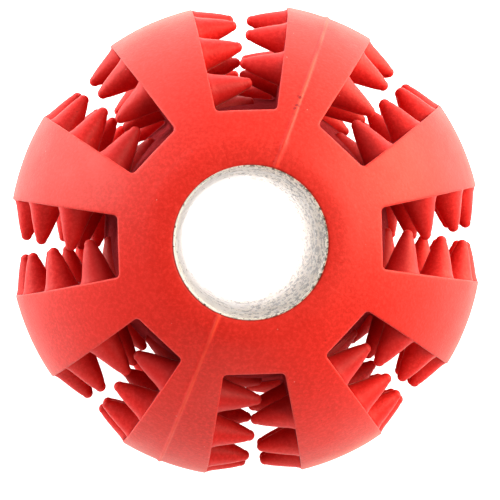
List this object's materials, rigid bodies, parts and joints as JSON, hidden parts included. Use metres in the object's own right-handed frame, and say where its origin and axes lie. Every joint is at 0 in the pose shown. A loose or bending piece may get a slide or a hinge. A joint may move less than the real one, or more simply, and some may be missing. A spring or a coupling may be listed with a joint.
{
  "type": "rubber chew ball",
  "caption": "Round natural-rubber dog chew ball with a through bore and slots lined with staggered rows of tooth-cleaning points.",
  "frame": {"origin": "centre of the ball, on the bore's axis, half way between the two poles", "axes": "+Z along the bore towards the top cap; slots centred on +X, +Y, -X, -Y and the diagonals; the mould's parting line lies in the half-planes 67.5 and 247.5 degrees round from +X"},
  "size_m": [0.0688, 0.0688, 0.067],
  "materials": {
    "core_rubber": "matt natural rubber, dusted with talc inside the bore",
    "cap_rubber": "satin moulded natural rubber",
    "segment_rubber": "satin moulded natural rubber",
    "tooth_rubber": "satin moulded natural rubber"
  },
  "bodies": {
    "root": {"core_barrel": "core_rubber", "top_cap": "cap_rubber", "bottom_cap": "cap_rubber", "segment_1": "segment_rubber", "segment_2": "segment_rubber", "segment_3": "segment_rubber", "segment_4": "segment_rubber", "segment_5": "segment_rubber", "segment_6": "segment_rubber", "segment_7": "segment_rubber", "segment_8": "segment_rubber", "teeth_1_right": "tooth_rubber", "teeth_1_left": "tooth_rubber", "teeth_2_right": "tooth_rubber", "teeth_2_left": "tooth_rubber", "teeth_3_right": "tooth_rubber", "teeth_3_left": "tooth_rubber", "teeth_4_right": "tooth_rubber", "teeth_4_left": "tooth_rubber", "teeth_5_right": "tooth_rubber", "teeth_5_left": "tooth_rubber", "teeth_6_right": "tooth_rubber", "teeth_6_left": "tooth_rubber", "teeth_7_right": "tooth_rubber", "teeth_7_left": "tooth_rubber", "teeth_8_right": "tooth_rubber", "teeth_8_left": "tooth_rubber"}
  },
  "joints": []
}
